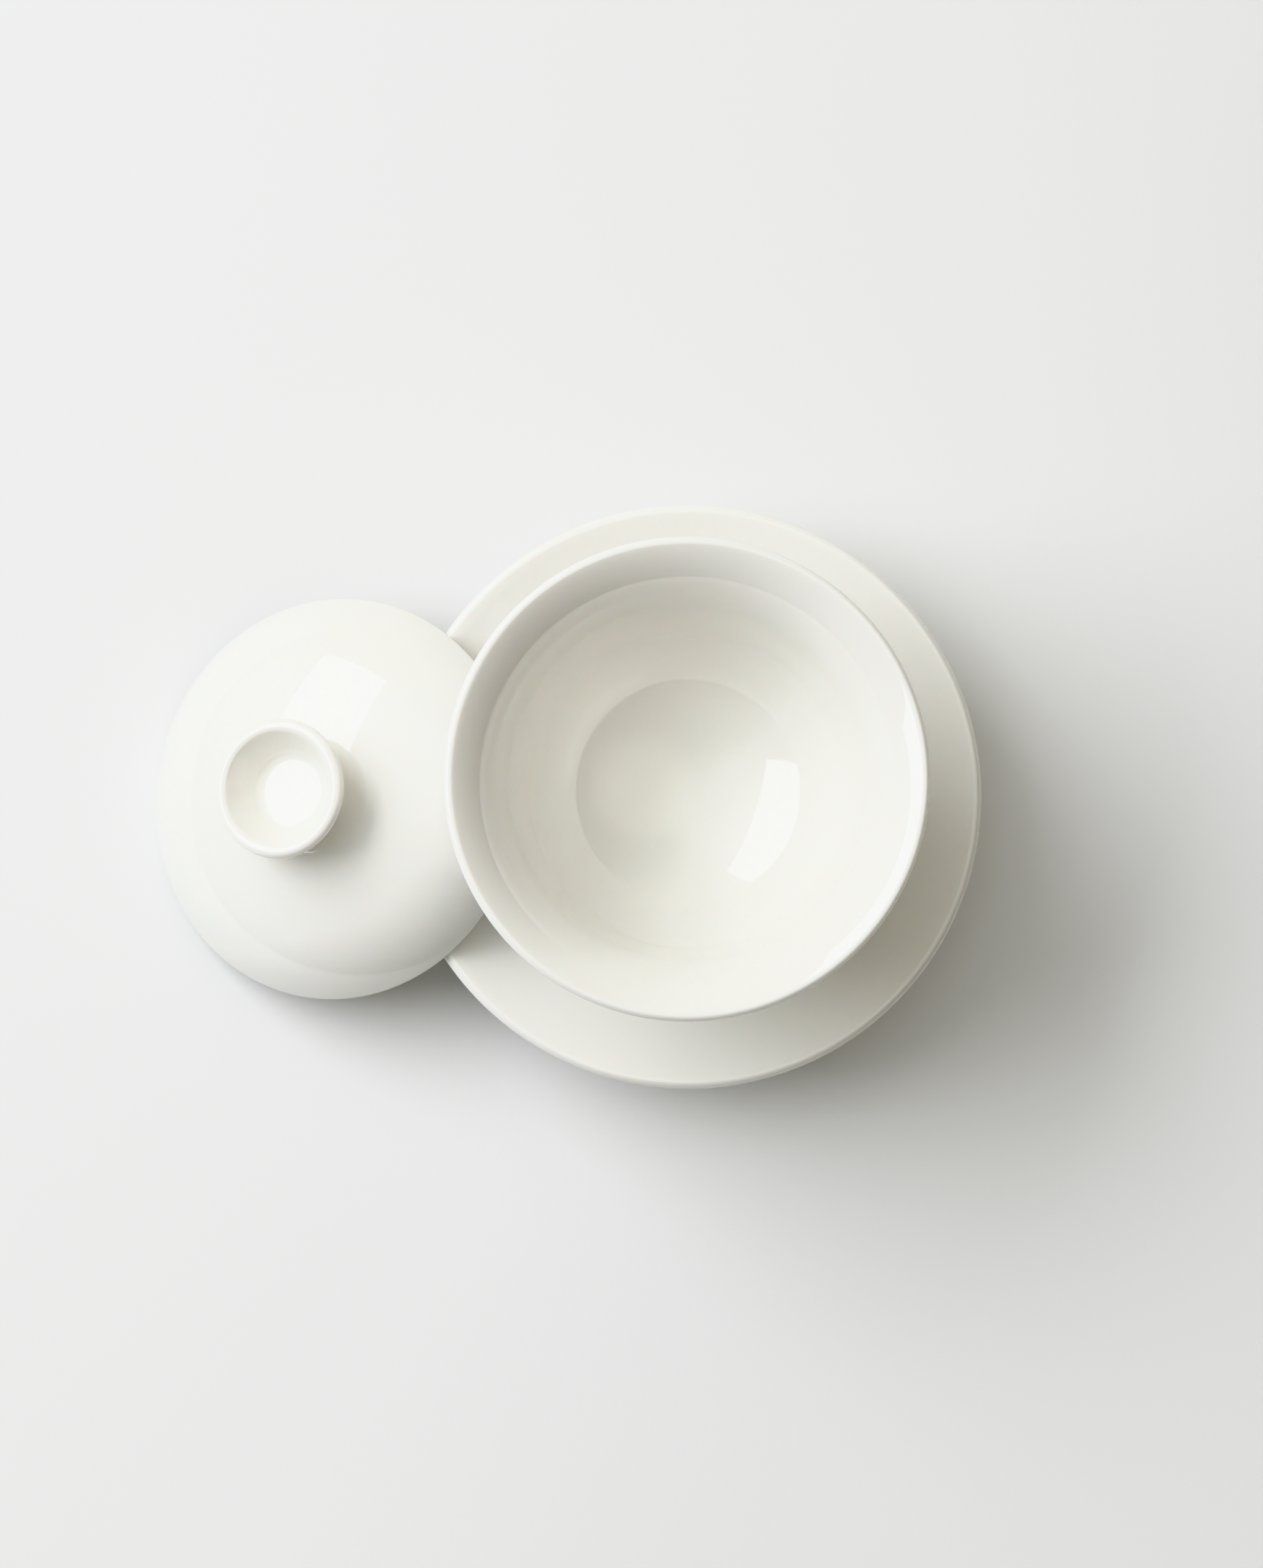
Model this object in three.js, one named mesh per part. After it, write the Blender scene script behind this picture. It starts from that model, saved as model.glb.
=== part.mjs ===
// A lidded tea bowl in three loose pieces: a saucer, a bowl standing in its well, and a lid that has
// been lifted off and leaned on the saucer's rim. Lengths are millimetres, angles degrees, +Z is up.
// Each piece is one solid turned about its own axis.
import * as THREE from 'three';

const SEGMENTS = 48;

// Saucer, from its foot up.
const SAUCER_RADIUS = 57.5;
const SAUCER_HEIGHT = 22.0;
const SAUCER_WELL_RADIUS = 19.6;
const SAUCER_WELL_FLOOR = 9.0;
const SAUCER_EDGE_ROUND = 1.3;
const SAUCER_FOOT_RADIUS = 28.0;
const SAUCER_FOOT_WIDTH = 3.5;
const SAUCER_FOOT_RECESS = 4.6;

// Bowl, from its own foot up. The wall is measured from the inner surface, which runs up the arcs.
const BOWL_FOOT_RADIUS = 17.5;
const BOWL_FOOT_WIDTH = 3.6;
const BOWL_FOOT_RECESS = 3.5;
const BOWL_INNER_BOTTOM = 7.2;
const BOWL_WALL_LOW = 3.6;
const BOWL_WALL_TOP = 2.2;
const BOWL_ARCS = [
  { radius: 45.2, endSlope: 28.4 },
  { radius: 18.5, endSlope: 78 },
  { length: 14.2 },
  { radius: 20, endSlope: 27 },
];

// Lid, from the plane of its rim up. The dome's arcs run down from its top to its rounded edge.
const LID_RADIUS = 39.7;
const LID_WALL_TOP = 3.4;
const LID_EDGE_ROUND = 0.9;
const LID_DOME_ARCS = [
  { radius: 70, endSlope: -22.5 },
  { radius: 26, endSlope: -60 },
];
const NECK_RADIUS = 8.3;
const NECK_FLARE = 3.0;
const NECK_TOP_ABOVE_DOME = 1.4;
const KNOB_HEIGHT = 27.4;
const KNOB_EDGE_ROUND = 1.4;
const KNOB_HOLLOW_ARCS = [
  { radius: 57, endSlope: 6 },
  { radius: 3, endSlope: 62 },
  { length: 5.6 },
];

// How the pieces stand. The gap keeps the bowl's solid apart from the saucer's.
const CONTACT_GAP = 0.3;
const LID_TILT = 20.9;
const LID_CENTRE_X = -69.5;

function radians(degrees) {
  return degrees * Math.PI / 180;
}

// Follows arcs and straight runs from a starting point and slope. Returns points with their slopes.
function followArcs(start, arcs, stepDegrees) {
  let here = start;
  const points = [here];
  for (const arc of arcs) {
    const slope = radians(here.slope);
    if (arc.length !== undefined) {
      here = {
        r: here.r + arc.length * Math.cos(slope),
        z: here.z + arc.length * Math.sin(slope),
        slope: here.slope,
      };
      points.push(here);
      continue;
    }
    const turn = arc.endSlope - here.slope;
    const side = Math.sign(turn) * arc.radius;
    const steps = Math.max(2, Math.ceil(Math.abs(turn) / stepDegrees));
    const from = here;
    for (let step = 1; step <= steps; step += 1) {
      const now = from.slope + turn * step / steps;
      here = {
        r: from.r + side * (Math.sin(radians(now)) - Math.sin(slope)),
        z: from.z + side * (Math.cos(slope) - Math.cos(radians(now))),
        slope: now,
      };
      points.push(here);
    }
  }
  return points;
}

// The other face of a wall whose thickness changes evenly along the first face's length.
function otherFace(face, firstWall, lastWall) {
  const along = [0];
  for (let i = 1; i < face.length; i += 1) {
    const run = Math.hypot(face[i].r - face[i - 1].r, face[i].z - face[i - 1].z);
    along.push(along[i - 1] + run);
  }
  const whole = along[along.length - 1];
  return face.map((point, i) => {
    const wall = firstWall + (lastWall - firstWall) * along[i] / whole;
    const slope = radians(point.slope);
    return { r: point.r + wall * Math.sin(slope), z: point.z - wall * Math.cos(slope) };
  });
}

// Points on a circle about a centre in the outline's plane, at angles from outward towards up.
function roundEdge(centreR, centreZ, radius, fromAngle, toAngle, steps) {
  const points = [];
  for (let step = 0; step <= steps; step += 1) {
    const angle = radians(fromAngle + (toAngle - fromAngle) * step / steps);
    points.push({
      r: centreR + radius * Math.cos(angle),
      z: centreZ + radius * Math.sin(angle),
    });
  }
  return points;
}

// A run of points between two ends, whose height follows a bend between straight and squared.
function bentRun(from, to, straightShare, steps) {
  const points = [];
  for (let step = 1; step < steps; step += 1) {
    const part = step / steps;
    const rise = straightShare * part + (1 - straightShare) * part * part;
    points.push({ r: from.r + (to.r - from.r) * part, z: from.z + (to.z - from.z) * rise });
  }
  return points;
}

// Turns an outline into a closed mesh with its axis along +Z. Outlines start on the axis at the top
// and come back to it underneath, and the lathe takes them the other way round.
function turned(name, outline, colour) {
  const points = outline.map((point) => new THREE.Vector2(point.r, point.z)).reverse();
  const geometry = new THREE.LatheGeometry(points, SEGMENTS);
  geometry.rotateX(Math.PI / 2);
  const material = new THREE.MeshStandardMaterial({ color: colour, roughness: 0.15 });
  const mesh = new THREE.Mesh(geometry, material);
  mesh.name = name;
  return mesh;
}

// The foot ring's outline from its outer side, under it, and across the recess to the axis.
function footRing(radius, width, recess) {
  const inside = radius - width;
  return [
    { r: radius, z: 0.5 },
    { r: radius - 0.5, z: 0 },
    { r: inside + 0.5, z: 0 },
    { r: inside, z: 0.5 },
    { r: inside - 0.6, z: recess - 0.6 },
    { r: inside - 1.8, z: recess },
    { r: 0, z: recess + 0.2 },
  ];
}

function saucerOutline() {
  const wellEdge = { r: SAUCER_WELL_RADIUS, z: SAUCER_WELL_FLOOR, slope: 0 };
  const wellSide = followArcs(
    wellEdge,
    [{ radius: 1.5, endSlope: 48 }, { radius: 1.5, endSlope: 14 }],
    16,
  );
  const brink = wellSide[wellSide.length - 1];
  const edge = roundEdge(
    SAUCER_RADIUS - SAUCER_EDGE_ROUND,
    SAUCER_HEIGHT - SAUCER_EDGE_ROUND,
    SAUCER_EDGE_ROUND,
    112,
    -60,
    7,
  );
  const flange = bentRun(brink, edge[0], 0.55, 5);
  const footTop = { r: SAUCER_FOOT_RADIUS + 0.6, z: SAUCER_FOOT_RECESS + 0.6 };
  const underside = bentRun(footTop, edge[edge.length - 1], 0.6, 5).reverse();
  return [
    { r: 0, z: SAUCER_WELL_FLOOR },
    ...wellSide,
    ...flange,
    ...edge,
    ...underside,
    footTop,
    ...footRing(SAUCER_FOOT_RADIUS, SAUCER_FOOT_WIDTH, SAUCER_FOOT_RECESS),
  ];
}

function bowlOutline() {
  const inner = followArcs({ r: 0, z: BOWL_INNER_BOTTOM, slope: 0 }, BOWL_ARCS, 8);
  const outer = otherFace(inner, BOWL_WALL_LOW, BOWL_WALL_TOP);
  const lipInside = inner[inner.length - 1];
  const lipOutside = outer[outer.length - 1];
  const lipAngle = 90 + lipInside.slope;
  const lip = roundEdge(
    (lipInside.r + lipOutside.r) / 2,
    (lipInside.z + lipOutside.z) / 2,
    BOWL_WALL_TOP / 2,
    lipAngle - 30,
    lipAngle - 150,
    4,
  );
  const outside = outer.filter((point) => point.r > BOWL_FOOT_RADIUS + 0.9).reverse();
  const join = outside[outside.length - 1];
  return [
    ...inner,
    ...lip,
    ...outside,
    { r: BOWL_FOOT_RADIUS + 0.3, z: join.z - 1.0 },
    { r: BOWL_FOOT_RADIUS, z: join.z - 2.2 },
    ...footRing(BOWL_FOOT_RADIUS - 0.6, BOWL_FOOT_WIDTH, BOWL_FOOT_RECESS),
  ];
}

// Height of the dome's outer face at a radius, read between its points.
function heightOn(face, r) {
  const i = face.findIndex((point) => point.r > r);
  const part = (r - face[i - 1].r) / (face[i].r - face[i - 1].r);
  return face[i - 1].z + part * (face[i].z - face[i - 1].z);
}

function lidOutline() {
  const dome = followArcs({ r: 0, z: 0, slope: 0 }, LID_DOME_ARCS, 7);
  const domeEnd = dome[dome.length - 1];
  const edgeAngle = 90 + domeEnd.slope;
  const edgeR = LID_RADIUS - LID_EDGE_ROUND;
  const rim = roundEdge(edgeR, LID_EDGE_ROUND, LID_EDGE_ROUND, edgeAngle, edgeAngle - 180, 6);
  const scale = rim[0].r / domeEnd.r;
  const placed = dome.map((point) => ({
    r: point.r * scale,
    z: (point.z - domeEnd.z) * scale + rim[0].z,
    slope: point.slope,
  }));
  const ceiling = otherFace(placed, LID_WALL_TOP, 2 * LID_EDGE_ROUND).slice(0, -1).reverse();

  const hollow = followArcs({ r: 0, z: 0, slope: 0 }, KNOB_HOLLOW_ARCS, 15);
  const brim = followArcs(hollow[hollow.length - 1], [{ radius: KNOB_EDGE_ROUND, endSlope: -100 }], 28);
  const cup = [...hollow, ...brim.slice(1)];
  const cupTop = Math.max(...cup.map((point) => point.z));
  const knob = cup.map((point) => ({ r: point.r, z: point.z + KNOB_HEIGHT - cupTop }));

  const under = knob[knob.length - 1];
  const neckTop = placed[0].z + NECK_TOP_ABOVE_DOME;
  const neckStart = { r: NECK_RADIUS, z: neckTop };
  const neck = [...bentRun(under, neckStart, 0.6, 5), neckStart];
  const skirtR = NECK_RADIUS + NECK_FLARE;
  const skirtZ = heightOn(placed, skirtR);
  for (const part of [1 / 3, 2 / 3, 1]) {
    neck.push({
      r: skirtR - NECK_FLARE * Math.cos(radians(90 * part)),
      z: skirtZ + (neckTop - skirtZ) * (1 - Math.sin(radians(90 * part))),
    });
  }
  const domeOutside = placed.slice(0, -1).filter((point) => point.r > skirtR + 1);
  return [...knob, ...neck, ...domeOutside, ...rim, ...ceiling];
}

const saucer = turned('saucer', saucerOutline(), 0xf1efe6);

const bowl = turned('bowl', bowlOutline(), 0xf4f2ea);
bowl.position.z = SAUCER_WELL_FLOOR + CONTACT_GAP;

// The lid leans with the rounded edge of its rim down on the table at the left, and its rim on the
// saucer's rim.
const tiltSine = Math.sin(radians(LID_TILT));
const tiltCosine = Math.cos(radians(LID_TILT));
const edgeCircle = LID_RADIUS - LID_EDGE_ROUND;
const lid = turned('lid', lidOutline(), 0xf5f4ec);
lid.rotation.y = -radians(LID_TILT);
lid.position.x = LID_CENTRE_X;
lid.position.z = LID_EDGE_ROUND + edgeCircle * tiltSine - LID_EDGE_ROUND * tiltCosine;

// The origin is under the middle of the whole arrangement.
const edgeX = LID_CENTRE_X - edgeCircle * tiltCosine - LID_EDGE_ROUND * tiltSine;
const leftEnd = edgeX - LID_EDGE_ROUND;
const gaiwan = new THREE.Group();
gaiwan.name = 'gaiwan';
gaiwan.position.x = -(leftEnd + SAUCER_RADIUS) / 2;
gaiwan.add(saucer, bowl, lid);

export default gaiwan;
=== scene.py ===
"""A lidded tea bowl (gaiwan) in glazed porcelain: saucer, bowl, and a lid leaning on the saucer's rim.

The three pieces are smooth turned meshes that stand for the plainer CAD solids. Outlines are in
millimetres in each piece's own frame, with the axis along +Z. The scene is in metres.
"""
import math

import bpy
from mathutils import Matrix, Vector

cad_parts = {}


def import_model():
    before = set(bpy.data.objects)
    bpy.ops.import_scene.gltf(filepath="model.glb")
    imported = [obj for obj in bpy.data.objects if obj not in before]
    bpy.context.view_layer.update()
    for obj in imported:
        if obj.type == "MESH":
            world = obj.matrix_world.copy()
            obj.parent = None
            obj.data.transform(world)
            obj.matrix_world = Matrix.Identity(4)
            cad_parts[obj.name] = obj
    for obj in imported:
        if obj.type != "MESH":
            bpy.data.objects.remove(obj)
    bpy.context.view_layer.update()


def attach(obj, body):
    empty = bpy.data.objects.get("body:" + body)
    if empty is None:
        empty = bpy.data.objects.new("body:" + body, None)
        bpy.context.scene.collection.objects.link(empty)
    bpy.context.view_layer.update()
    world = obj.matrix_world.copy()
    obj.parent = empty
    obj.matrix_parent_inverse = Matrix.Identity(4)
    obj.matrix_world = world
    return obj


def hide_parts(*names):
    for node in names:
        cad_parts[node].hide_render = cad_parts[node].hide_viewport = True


MM = 0.001
SEGMENTS = 256

# Every foot ring: the rounding of its bottom edges, the corner of the hollow inside it, and how far
# the hollow's floor rises from there to the axis.
FOOT_SOFT = 0.7
FOOT_FILLET = 1.2
FOOT_FLOOR_RISE = 0.25

# Saucer, from its foot up.
SAUCER_RADIUS = 57.5
SAUCER_HEIGHT = 22.0
SAUCER_WELL_RADIUS = 19.6
SAUCER_WELL_FLOOR = 9.0
SAUCER_EDGE_ROUND = 1.3
SAUCER_FOOT_RADIUS = 28.0
SAUCER_FOOT_WIDTH = 3.5
SAUCER_FOOT_RECESS = 4.6
SAUCER_FOOT_BLEND = 1.2
SAUCER_WELL_SIDE = [("turn", 1.5, 48), ("turn", 1.5, 14)]
FLANGE_STRAIGHT_SHARE = 0.55
UNDERSIDE_STRAIGHT_SHARE = 0.6

# Bowl, from its own foot up. The wall is measured from the inner surface, which runs up the arcs.
BOWL_FOOT_RADIUS = 17.5
BOWL_FOOT_WIDTH = 3.6
BOWL_FOOT_RECESS = 3.5
BOWL_WAIST_OUTSET = 1.6
BOWL_WAIST_ROUND = 1.9
BOWL_INNER_BOTTOM = 7.2
BOWL_WALL_LOW = 3.6
BOWL_WALL_TOP = 2.2
BOWL_ARCS = [("turn", 45.2, 28.4), ("turn", 18.5, 78), ("line", 14.2), ("turn", 20, 27)]

# Lid, from the plane of its rim up.
LID_RADIUS = 39.7
LID_WALL_TOP = 3.4
LID_EDGE_ROUND = 0.9
LID_DOME_ARCS = [("turn", 70, -22.5), ("turn", 26, -60)]
NECK_RADIUS = 8.3
NECK_FLARE = 3.0
NECK_TOP_ABOVE_DOME = 1.4
NECK_STRAIGHT_SHARE = 0.6
SKIRT_STEPS = 9
KNOB_HEIGHT = 27.4
KNOB_EDGE_ROUND = 1.4
KNOB_HOLLOW_ARCS = [("turn", 57, 6), ("turn", 3, 62), ("line", 5.6)]

# How the pieces stand, as in the CAD.
CONTACT_GAP = 0.3
LID_TILT = 20.9
LID_CENTRE_X = -69.5
EDGE_CIRCLE = LID_RADIUS - LID_EDGE_ROUND

# Looks. Colours are linear, bump depths are metres and noise scales are per metre. The subsurface
# reach and the height below which a foot is bare are millimetres.
BODY_PALE = (0.892, 0.886, 0.843, 1)
BODY_WARM = (0.882, 0.874, 0.825, 1)
# Painted shade and painted highlight: a darker body colour painted into tight hollows of the outline,
# and a lighter one painted on proud edges.
BODY_PAINTED_SHADE = (0.855, 0.855, 0.812, 1)
BODY_PAINTED_HIGHLIGHT = (0.900, 0.895, 0.858, 1)
BODY_NOISE = 34
# How bends of the outline set the painted-light mask, and where the painted shade and the painted
# highlight start and reach full strength.
MASK_PER_BEND = 0.35
PAINTED_SHADE_FROM = 0.55
PAINTED_HIGHLIGHT_FROM = 0.45
PAINTED_HIGHLIGHT_FULL = 0.05
GLOSS_LOW = 0.03
GLOSS_HIGH = 0.05
GLOSS_NOISE = 420
GLAZE_IOR = 1.7
GLAZE_WAVE = 0.00001
GLAZE_WAVE_NOISE = 55
GLAZE_PEEL = 0.0000002
GLAZE_PEEL_NOISE = 600
SUBSURFACE = 0.25
SUBSURFACE_REACH = (2.2, 1.3, 0.8)
FOOT_PALE = (0.80, 0.77, 0.70, 1)
FOOT_DARK = (0.70, 0.66, 0.58, 1)
FOOT_GRAIN = 0.00006
FOOT_GRAIN_NOISE = 2600
FOOT_ROUGH_LOW = 0.55
FOOT_ROUGH_HIGH = 0.8
FOOT_ROUGH_NOISE = 900
BARE_BELOW = 0.35

# The stage. Places are metres from the saucer's axis on the table. The lens and the sensor are
# millimetres, and angles are degrees unless they are turned to radians here.
FLOOR_HALF = 12.0
FLOOR_COLOUR = (0.815, 0.815, 0.812, 1)
FLOOR_CLOUDED = (0.795, 0.795, 0.792, 1)
FLOOR_CLOUD_NOISE = 6
FLOOR_GRAIN = 0.00003
FLOOR_GRAIN_NOISE = 900
FLOOR_ROUGHNESS = 0.9
CAMERA_PLACE = (0.00648, -0.07994, 1.0)
CAMERA_LEAN_X = math.radians(-1.03)
CAMERA_LEAN_Y = math.radians(4.80)
CAMERA_LENS = 114.90
CAMERA_SENSOR = 36
CAMERA_NEAR = 0.01
WINDOW_CORNERS = [(-0.87, -0.29, 1.06), (-0.45, 0.98, 1.06)]
WINDOW_LEAN = 50
WINDOW_DEPTH = 0.60
WINDOW_RADIANCE = 5.7
GLOW_COLOUR = (0.98, 1.0, 1.035)
FILL_COLOUR = (1.02, 0.98, 0.82)
# Azimuth, angle off the vertical, reach (all in degrees), brightness and colour of each patch.
ROOM_PATCHES = [
    (150, 25, 40, 1.10, GLOW_COLOUR), (150, 55, 40, 0.90, GLOW_COLOUR),
    (0, 22, 32, 1.15, FILL_COLOUR), (270, 35, 30, 0.25, FILL_COLOUR),
    (90, 80, 50, 0.70, FILL_COLOUR),
]
PATCH_CORE = 6
ROOM_BASE = (0.01, 0.01, 0.01)
VIEW_TRANSFORM = "Khronos PBR Neutral"

# Sockets of a Mix node that mixes colours.
MIX_SHARE = 0
MIX_FIRST = 6
MIX_SECOND = 7
MIX_RESULT = 2


def follow_arcs(start, arcs, step_degrees):
    """Points (r, z, slope) along arcs and straight runs from a starting point and slope."""
    r, z, slope = start
    points = [start]
    for kind, size, *rest in arcs:
        base = math.radians(slope)
        if kind == "line":
            for part in (0.25, 0.5, 0.75, 1.0):
                run = size * part
                points.append((r + run * math.cos(base), z + run * math.sin(base), slope))
            r, z, slope = points[-1]
            continue
        end = rest[0]
        side = math.copysign(size, end - slope)
        steps = max(2, math.ceil(abs(end - slope) / step_degrees))
        for step in range(1, steps + 1):
            now = slope + (end - slope) * step / steps
            angle = math.radians(now)
            points.append((
                r + side * (math.sin(angle) - math.sin(base)),
                z + side * (math.cos(base) - math.cos(angle)),
                now,
            ))
        r, z, slope = points[-1]
    return points


def other_face(face, first_wall, last_wall):
    """The other face of a wall whose thickness changes evenly along the first face."""
    along = [0.0]
    for a, b in zip(face, face[1:]):
        along.append(along[-1] + math.hypot(b[0] - a[0], b[1] - a[1]))
    points = []
    for (r, z, slope), run in zip(face, along):
        wall = first_wall + (last_wall - first_wall) * run / along[-1]
        turn = math.radians(slope)
        points.append((r + wall * math.sin(turn), z - wall * math.cos(turn)))
    return points


def round_edge(centre_r, centre_z, radius, start, end, steps):
    """Points on a circle in the outline's plane, at angles from outward towards up."""
    points = []
    for step in range(steps + 1):
        angle = math.radians(start + (end - start) * step / steps)
        points.append((centre_r + radius * math.cos(angle), centre_z + radius * math.sin(angle)))
    return points


def bent_run(start, end, straight_share, steps):
    """Points between two ends whose height is between straight and squared."""
    points = []
    for step in range(1, steps):
        part = step / steps
        rise = straight_share * part + (1 - straight_share) * part * part
        points.append((
            start[0] + (end[0] - start[0]) * part,
            start[1] + (end[1] - start[1]) * rise,
        ))
    return points


def foot_ring(radius, width, recess):
    """The foot's outline from its outer side, under it, and across the recess to the axis."""
    inside = radius - width
    outer = round_edge(radius - FOOT_SOFT, FOOT_SOFT, FOOT_SOFT, 0, -90, 6)
    inner = round_edge(inside + FOOT_SOFT, FOOT_SOFT, FOOT_SOFT, -90, -180, 6)
    fillet = round_edge(
        inside - FOOT_SOFT - FOOT_FILLET, recess - FOOT_FILLET, FOOT_FILLET, 0, 90, 6
    )
    corner = fillet[-1][0]
    floor = [
        (corner * part, recess + FOOT_FLOOR_RISE * (1 - part)) for part in (0.75, 0.5, 0.25, 0)
    ]
    return outer + inner + fillet + floor


def saucer_outline():
    well = [(SAUCER_WELL_RADIUS * part, SAUCER_WELL_FLOOR) for part in (0, 0.3, 0.6, 0.85)]
    side = [
        (r, z)
        for r, z, _ in follow_arcs((SAUCER_WELL_RADIUS, SAUCER_WELL_FLOOR, 0), SAUCER_WELL_SIDE, 6)
    ]
    edge = round_edge(
        SAUCER_RADIUS - SAUCER_EDGE_ROUND, SAUCER_HEIGHT - SAUCER_EDGE_ROUND, SAUCER_EDGE_ROUND,
        112, -60, 20,
    )
    flange = bent_run(side[-1], edge[0], FLANGE_STRAIGHT_SHARE, 26)
    foot_top = (SAUCER_FOOT_RADIUS + 0.6, SAUCER_FOOT_RECESS + 0.6)
    underside = bent_run(foot_top, edge[-1], UNDERSIDE_STRAIGHT_SHARE, 26)[::-1]
    foot_side = round_edge(
        SAUCER_FOOT_RADIUS + SAUCER_FOOT_BLEND, foot_top[1] - 0.9, SAUCER_FOOT_BLEND, 150, 180, 4
    )
    ring = foot_ring(SAUCER_FOOT_RADIUS, SAUCER_FOOT_WIDTH, SAUCER_FOOT_RECESS)
    return well + side + flange + edge + underside + foot_side + ring


def bowl_outline():
    inner = follow_arcs((0, BOWL_INNER_BOTTOM, 0), BOWL_ARCS, 2)
    outer = other_face(inner, BOWL_WALL_LOW, BOWL_WALL_TOP)
    lip_angle = 90 + inner[-1][2]
    lip = round_edge(
        (inner[-1][0] + outer[-1][0]) / 2, (inner[-1][1] + outer[-1][1]) / 2, BOWL_WALL_TOP / 2,
        lip_angle - 12, lip_angle - 168, 13,
    )
    waist_radius = BOWL_FOOT_RADIUS + BOWL_WAIST_OUTSET
    outside = [point for point in outer if point[0] > waist_radius][::-1]
    join = outside[-1]
    waist = round_edge(join[0] + 0.25, join[1] - 2.0, BOWL_WAIST_ROUND, 125, 180, 6)
    ring = foot_ring(BOWL_FOOT_RADIUS - 0.1, BOWL_FOOT_WIDTH, BOWL_FOOT_RECESS)
    return [(r, z) for r, z, _ in inner] + lip + outside + waist + ring


def height_on(face, r):
    """Height of an outline's face at a radius."""
    for a, b in zip(face, face[1:]):
        if a[0] <= r <= b[0]:
            return a[1] + (b[1] - a[1]) * (r - a[0]) / (b[0] - a[0])
    raise ValueError("the radius is off the face")


def lid_outline():
    dome = follow_arcs((0, 0, 0), LID_DOME_ARCS, 1.2)
    edge_angle = 90 + dome[-1][2]
    rim = round_edge(EDGE_CIRCLE, LID_EDGE_ROUND, LID_EDGE_ROUND, edge_angle, edge_angle - 180, 14)
    scale = rim[0][0] / dome[-1][0]
    placed = [(r * scale, (z - dome[-1][1]) * scale + rim[0][1], slope) for r, z, slope in dome]
    ceiling = other_face(placed, LID_WALL_TOP, 2 * LID_EDGE_ROUND)[:-1][::-1]

    hollow = follow_arcs((0, 0, 0), KNOB_HOLLOW_ARCS, 3)
    brim = follow_arcs(hollow[-1], [("turn", KNOB_EDGE_ROUND, -100)], 9)
    cup = hollow + brim[1:]
    lift = KNOB_HEIGHT - max(z for _, z, _ in cup)
    knob = [(r, z + lift) for r, z, _ in cup]

    under = knob[-1]
    neck_top = placed[0][1] + NECK_TOP_ABOVE_DOME
    neck_start = (NECK_RADIUS, neck_top)
    neck = bent_run(under, neck_start, NECK_STRAIGHT_SHARE, 14) + [neck_start]
    skirt_r = NECK_RADIUS + NECK_FLARE
    skirt_z = height_on(placed, skirt_r)
    for step in range(1, SKIRT_STEPS + 1):
        turn = math.radians(90 * step / SKIRT_STEPS)
        neck.append((
            skirt_r - NECK_FLARE * math.cos(turn),
            skirt_z + (neck_top - skirt_z) * (1 - math.sin(turn)),
        ))
    outside = [(r, z) for r, z, _ in placed[:-1] if r > skirt_r + 0.4]
    return knob + neck + outside + rim + ceiling


def mask_for_painted_light(outline):
    """How hollow the outline is at each point, from 0 on a proud edge to 1 in a tight hollow: the mask
    for painted shade in hollows and a painted highlight on proud edges.
    """
    bends = [0.0]
    for before, here, after in zip(outline, outline[1:], outline[2:]):
        first = math.atan2(here[1] - before[1], here[0] - before[0])
        second = math.atan2(after[1] - here[1], after[0] - here[0])
        turn = (second - first + math.pi) % (2 * math.pi) - math.pi
        run = (math.dist(before, here) + math.dist(here, after)) / 2
        bends.append(turn / max(run, 0.05))
    bends.append(0.0)
    for _ in range(3):
        bends = [sum(bends[max(0, k - 1):k + 2]) / len(bends[max(0, k - 1):k + 2])
                 for k in range(len(bends))]
    return [min(1.0, max(0.0, 0.5 + bend * MASK_PER_BEND)) for bend in bends]


def turned(name, outline, place, bare_below, materials):
    """A closed mesh turned from an outline that starts and ends on the axis."""
    # Per point, how hollow the outline is, kept on the mesh as the mask for the painted shade and the
    # painted highlight.
    bend_values = mask_for_painted_light(outline)
    rings = []
    verts = []
    painted_light_mask = []
    for (r, z), hollowness in zip(outline, bend_values):
        if r < 1e-6:
            rings.append([len(verts)])
            verts.append(place @ Vector((0, 0, z * MM)))
            painted_light_mask.append(hollowness)
            continue
        rings.append(list(range(len(verts), len(verts) + SEGMENTS)))
        for k in range(SEGMENTS):
            angle = 2 * math.pi * k / SEGMENTS
            point = Vector((r * MM * math.cos(angle), r * MM * math.sin(angle), z * MM))
            verts.append(place @ point)
            painted_light_mask.append(hollowness)
    faces = []
    bare = []
    for row, (upper, lower) in enumerate(zip(rings, rings[1:])):
        is_bare = max(outline[row][1], outline[row + 1][1]) < bare_below
        for k in range(SEGMENTS):
            n = (k + 1) % SEGMENTS
            if len(upper) == 1:
                faces.append((upper[0], lower[k], lower[n]))
            elif len(lower) == 1:
                faces.append((upper[k], lower[0], upper[n]))
            else:
                faces.append((upper[k], lower[k], lower[n], upper[n]))
            bare.append(1 if is_bare else 0)
    mesh = bpy.data.meshes.new(name)
    mesh.from_pydata(verts, [], faces)
    mesh.shade_smooth()
    attribute = mesh.attributes.new("painted_light_bend", "FLOAT", "POINT")
    attribute.data.foreach_set("value", painted_light_mask)
    for material in materials:
        mesh.materials.append(material)
    mesh.polygons.foreach_set("material_index", bare)
    piece = bpy.data.objects.new(name, mesh)
    bpy.context.scene.collection.objects.link(piece)
    return piece


def new_material(name):
    material = bpy.data.materials.new(name)
    material.use_nodes = True
    return material, material.node_tree.nodes, material.node_tree.links


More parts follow.
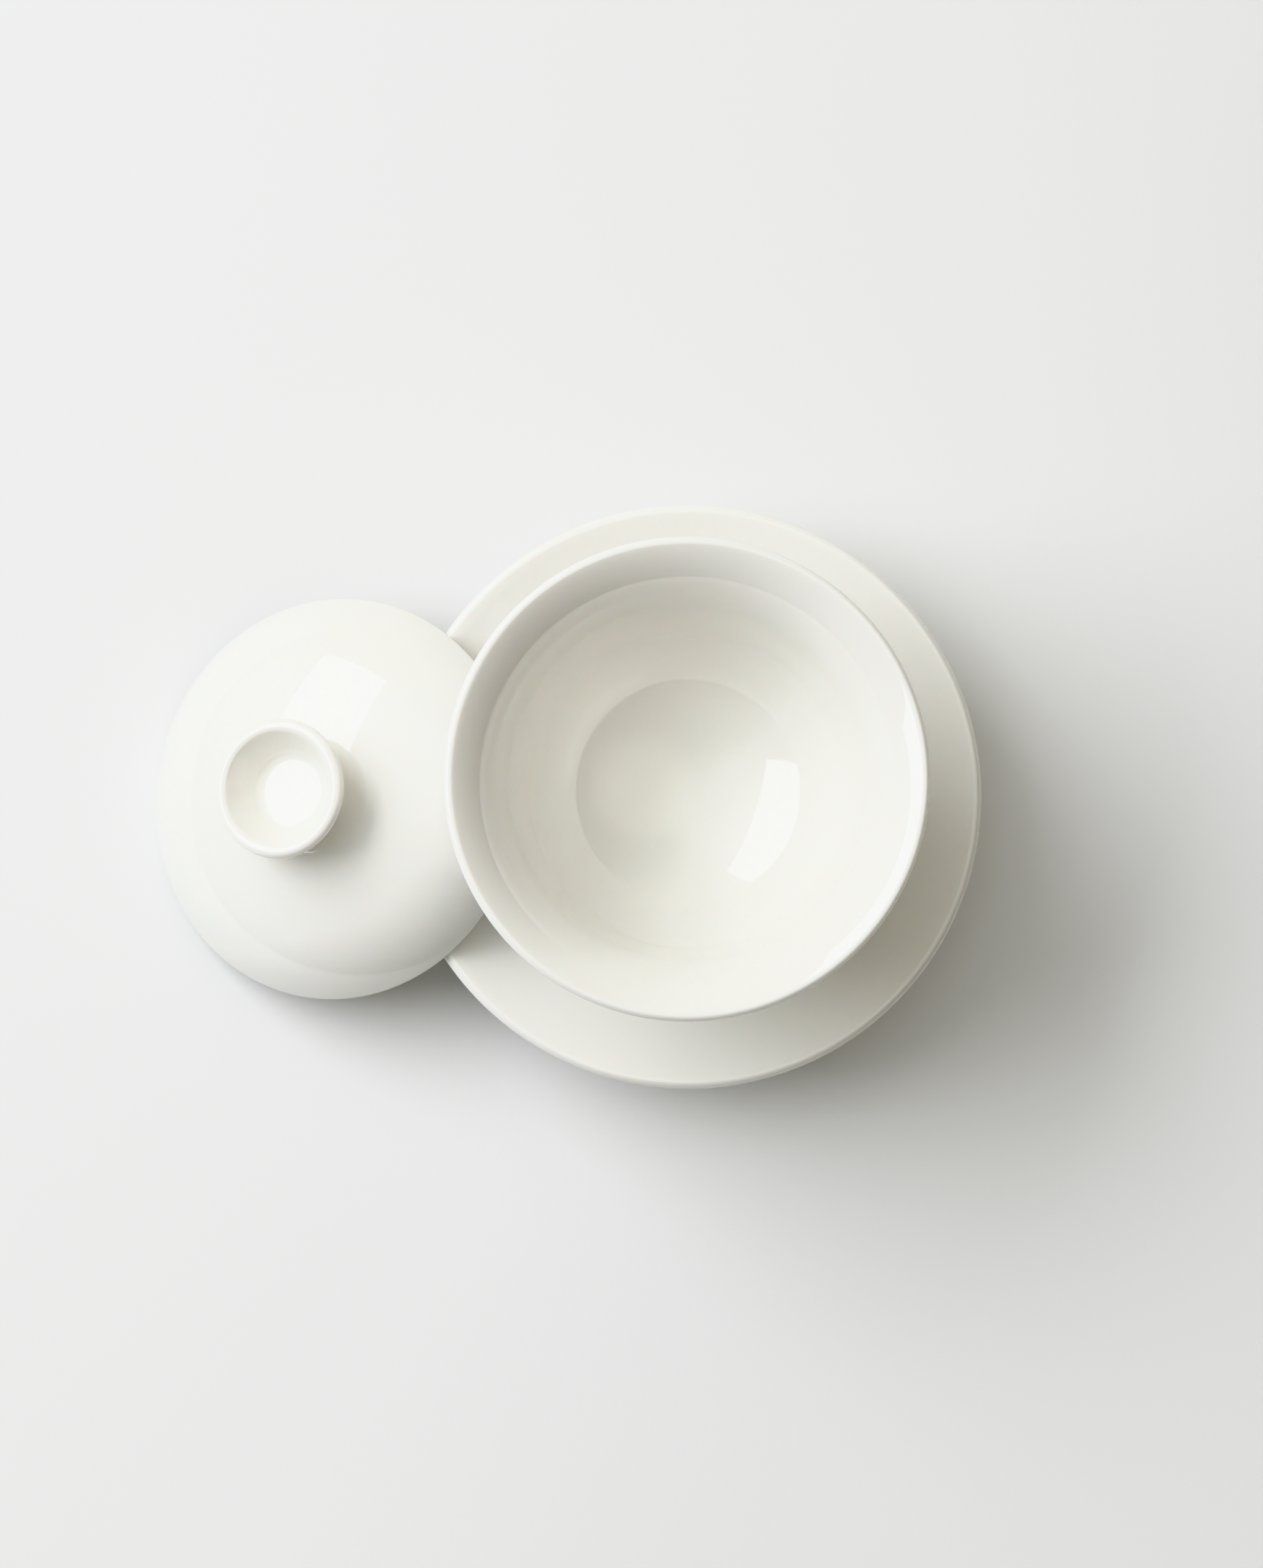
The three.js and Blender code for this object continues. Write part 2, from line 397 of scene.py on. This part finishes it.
def noise(nodes, links, scale, detail=2.0):
    """Noise from 0 to 1 in the object's own frame."""
    place = nodes.new("ShaderNodeTexCoord")
    texture = nodes.new("ShaderNodeTexNoise")
    texture.inputs["Scale"].default_value = scale
    texture.inputs["Detail"].default_value = detail
    links.new(place.outputs["Object"], texture.inputs["Vector"])
    return texture.outputs["Fac"]


def mapped(nodes, links, value, low, high, from_low=0.3, from_high=0.7):
    """A value taken from one range to another and kept inside it."""
    node = nodes.new("ShaderNodeMapRange")
    node.inputs["From Min"].default_value = from_low
    node.inputs["From Max"].default_value = from_high
    node.inputs["To Min"].default_value = low
    node.inputs["To Max"].default_value = high
    links.new(value, node.inputs["Value"])
    return node.outputs["Result"]


def mixed(nodes, links, share, first, second):
    """A mix of two colours. Each is a colour or a socket, and so is the share."""
    node = nodes.new("ShaderNodeMix")
    node.data_type = "RGBA"
    for index, value in ((MIX_SHARE, share), (MIX_FIRST, first), (MIX_SECOND, second)):
        socket = node.inputs[index]
        if isinstance(value, bpy.types.NodeSocket):
            links.new(value, socket)
        else:
            socket.default_value = value
    return node.outputs[MIX_RESULT]


def bumped(nodes, links, height, distance, below=None):
    """A bump of the given depth, on top of another one if there is one."""
    node = nodes.new("ShaderNodeBump")
    node.inputs["Strength"].default_value = 1.0
    node.inputs["Distance"].default_value = distance
    links.new(height, node.inputs["Height"])
    if below is not None:
        links.new(below, node.inputs["Normal"])
    return node.outputs["Normal"]


def porcelain():
    """Clear glaze over an ivory-white body: even and glossy, with slow waves and soft tone changes.
    Shade is painted darker into tight hollows and a highlight painted lighter on proud edges.
    """
    material, nodes, links = new_material("porcelain_glaze")
    shader = nodes["Principled BSDF"]
    drift = mapped(nodes, links, noise(nodes, links, BODY_NOISE), 0, 1)
    body = mixed(nodes, links, drift, BODY_PALE, BODY_WARM)
    # Painted shade: the body colour is darkened in tight hollows of the outline.
    painted_light_mask = nodes.new("ShaderNodeAttribute")
    painted_light_mask.attribute_name = "painted_light_bend"
    hollowness = mapped(nodes, links, painted_light_mask.outputs["Fac"], 0, 1, PAINTED_SHADE_FROM, 1.0)
    with_painted_shade = mixed(nodes, links, hollowness, body, BODY_PAINTED_SHADE)
    # Painted highlight: the body colour is lightened on proud edges.
    edge = mapped(nodes, links, painted_light_mask.outputs["Fac"], 1, 0, PAINTED_HIGHLIGHT_FULL, PAINTED_HIGHLIGHT_FROM)
    tone = mixed(nodes, links, edge, with_painted_shade, BODY_PAINTED_HIGHLIGHT)
    links.new(tone, shader.inputs["Base Color"])
    gloss = mapped(nodes, links, noise(nodes, links, GLOSS_NOISE, 3), GLOSS_LOW, GLOSS_HIGH)
    links.new(gloss, shader.inputs["Roughness"])
    waves = bumped(nodes, links, noise(nodes, links, GLAZE_WAVE_NOISE, 1), GLAZE_WAVE)
    peel = bumped(nodes, links, noise(nodes, links, GLAZE_PEEL_NOISE), GLAZE_PEEL, waves)
    links.new(peel, shader.inputs["Normal"])
    shader.inputs["IOR"].default_value = GLAZE_IOR
    shader.inputs["Subsurface Weight"].default_value = SUBSURFACE
    shader.inputs["Subsurface Radius"].default_value = SUBSURFACE_REACH
    shader.inputs["Subsurface Scale"].default_value = MM
    return material


def bare_foot():
    """The unglazed ring that each foot stands on: matt, faintly warm and slightly gritty."""
    material, nodes, links = new_material("bare_foot")
    shader = nodes["Principled BSDF"]
    grain = noise(nodes, links, FOOT_GRAIN_NOISE, 3)
    tone = mixed(nodes, links, mapped(nodes, links, grain, 0, 1), FOOT_PALE, FOOT_DARK)
    links.new(tone, shader.inputs["Base Color"])
    spread = noise(nodes, links, FOOT_ROUGH_NOISE)
    rough = mapped(nodes, links, spread, FOOT_ROUGH_LOW, FOOT_ROUGH_HIGH)
    links.new(rough, shader.inputs["Roughness"])
    links.new(bumped(nodes, links, grain, FOOT_GRAIN), shader.inputs["Normal"])
    return material


def pale_floor():
    """A wide pale table, faintly clouded and finely grained."""
    mesh = bpy.data.meshes.new("floor")
    corners = [(-1, -1), (1, -1), (1, 1), (-1, 1)]
    mesh.from_pydata([(x * FLOOR_HALF, y * FLOOR_HALF, 0) for x, y in corners], [], [(0, 1, 2, 3)])
    floor = bpy.data.objects.new("floor", mesh)
    bpy.context.scene.collection.objects.link(floor)
    material, nodes, links = new_material("pale_table")
    shader = nodes["Principled BSDF"]
    cloud = mapped(nodes, links, noise(nodes, links, FLOOR_CLOUD_NOISE), 0, 1)
    links.new(mixed(nodes, links, cloud, FLOOR_COLOUR, FLOOR_CLOUDED), shader.inputs["Base Color"])
    shader.inputs["Roughness"].default_value = FLOOR_ROUGHNESS
    grain = noise(nodes, links, FLOOR_GRAIN_NOISE, 3)
    links.new(bumped(nodes, links, grain, FLOOR_GRAIN), shader.inputs["Normal"])
    mesh.materials.append(material)
    return floor


def studio_camera(axis_x):
    """Looks almost straight down from a metre above. axis_x is where the saucer's axis stands."""
    look = Vector((math.tan(CAMERA_LEAN_X), math.tan(CAMERA_LEAN_Y), -1)).normalized()
    right = look.cross(Vector((0, 1, 0))).normalized()
    up = right.cross(look)
    data = bpy.data.cameras.new("camera")
    data.sensor_width = CAMERA_SENSOR
    data.lens = CAMERA_LENS
    data.clip_start = CAMERA_NEAR
    camera = bpy.data.objects.new("camera", data)
    bpy.context.scene.collection.objects.link(camera)
    place = Matrix((right, up, -look)).transposed().to_4x4()
    place.translation = Vector(CAMERA_PLACE) + Vector((axis_x, 0, 0))
    camera.matrix_world = place
    bpy.context.scene.camera = camera


def softbox(axis_x):
    """A broad window-like light at the upper left. Its upper edge runs between two corners."""
    first = Vector(WINDOW_CORNERS[0])
    second = Vector(WINDOW_CORNERS[1])
    along = second - first
    width = along.length
    along.normalize()
    away = Vector((-along.y, along.x, 0))
    drop = math.radians(WINDOW_LEAN)
    down = Vector((away.x * math.cos(drop), away.y * math.cos(drop), -math.sin(drop)))
    back = along.cross(down)
    centre = (first + second) / 2 + down * (WINDOW_DEPTH / 2)
    if back.dot(centre) < 0:
        along, back = -along, -back
    light = bpy.data.lights.new("softbox", "AREA")
    light.shape = "RECTANGLE"
    light.size = width
    light.size_y = WINDOW_DEPTH
    light.energy = WINDOW_RADIANCE * math.pi * width * WINDOW_DEPTH
    light.color = GLOW_COLOUR
    lamp = bpy.data.objects.new("softbox", light)
    bpy.context.scene.collection.objects.link(lamp)
    place = Matrix((along, down, back)).transposed().to_4x4()
    place.translation = centre + Vector((axis_x, 0, 0))
    lamp.matrix_world = place
    lamp.visible_camera = False


def studio_world():
    """Soft light from the room: a dim base with broad, smooth patches of brighter wall and ceiling."""
    world = bpy.data.worlds.new("world")
    bpy.context.scene.world = world
    world.use_nodes = True
    nodes = world.node_tree.nodes
    links = world.node_tree.links
    nodes.clear()
    out = nodes.new("ShaderNodeOutputWorld")
    background = nodes.new("ShaderNodeBackground")
    links.new(background.outputs[0], out.inputs[0])
    place = nodes.new("ShaderNodeTexCoord")
    total = None
    for azimuth, off, reach, level, colour in ROOM_PATCHES:
        across = math.radians(azimuth)
        tilt = math.radians(off)
        dot = nodes.new("ShaderNodeVectorMath")
        dot.operation = "DOT_PRODUCT"
        dot.inputs[1].default_value = (
            math.sin(tilt) * math.cos(across), math.sin(tilt) * math.sin(across), math.cos(tilt)
        )
        links.new(place.outputs["Generated"], dot.inputs[0])
        patch = nodes.new("ShaderNodeMapRange")
        patch.interpolation_type = "SMOOTHSTEP"
        patch.inputs["From Min"].default_value = math.cos(math.radians(reach))
        patch.inputs["From Max"].default_value = math.cos(math.radians(PATCH_CORE))
        patch.inputs["To Max"].default_value = level
        links.new(dot.outputs["Value"], patch.inputs["Value"])
        tint = nodes.new("ShaderNodeVectorMath")
        tint.operation = "SCALE"
        tint.inputs[0].default_value = colour
        links.new(patch.outputs["Result"], tint.inputs["Scale"])
        add = nodes.new("ShaderNodeVectorMath")
        links.new(tint.outputs["Vector"], add.inputs[0])
        if total is None:
            add.inputs[1].default_value = ROOM_BASE
        else:
            links.new(total, add.inputs[1])
        total = add.outputs[0]
    links.new(total, background.inputs["Color"])


def build():
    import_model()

    tilt = math.radians(LID_TILT)
    lift = LID_EDGE_ROUND + EDGE_CIRCLE * math.sin(tilt) - LID_EDGE_ROUND * math.cos(tilt)
    left_end = (
        LID_CENTRE_X - EDGE_CIRCLE * math.cos(tilt) - LID_EDGE_ROUND * math.sin(tilt)
        - LID_EDGE_ROUND
    )
    axis_x = -(left_end + SAUCER_RADIUS) / 2
    saucer_place = Matrix.Translation((axis_x * MM, 0, 0))
    bowl_place = Matrix.Translation((axis_x * MM, 0, (SAUCER_WELL_FLOOR + CONTACT_GAP) * MM))
    lid_place = (
        Matrix.Translation(((axis_x + LID_CENTRE_X) * MM, 0, lift * MM))
        @ Matrix.Rotation(-tilt, 4, "Y")
    )
    finishes = [porcelain(), bare_foot()]
    saucer = turned("saucer_porcelain", saucer_outline(), saucer_place, BARE_BELOW, finishes)
    bowl = turned("bowl_porcelain", bowl_outline(), bowl_place, BARE_BELOW, finishes)
    lid = turned("lid_porcelain", lid_outline(), lid_place, BARE_BELOW, finishes)
    for piece, node in ((saucer, "saucer"), (bowl, "bowl"), (lid, "lid")):
        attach(piece, node)
        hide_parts(node)

    floor = pale_floor()
    studio_camera(axis_x * MM)
    softbox(axis_x * MM)
    studio_world()
    bpy.context.scene.view_settings.view_transform = VIEW_TRANSFORM

    bpy.context.view_layer.update()


build()
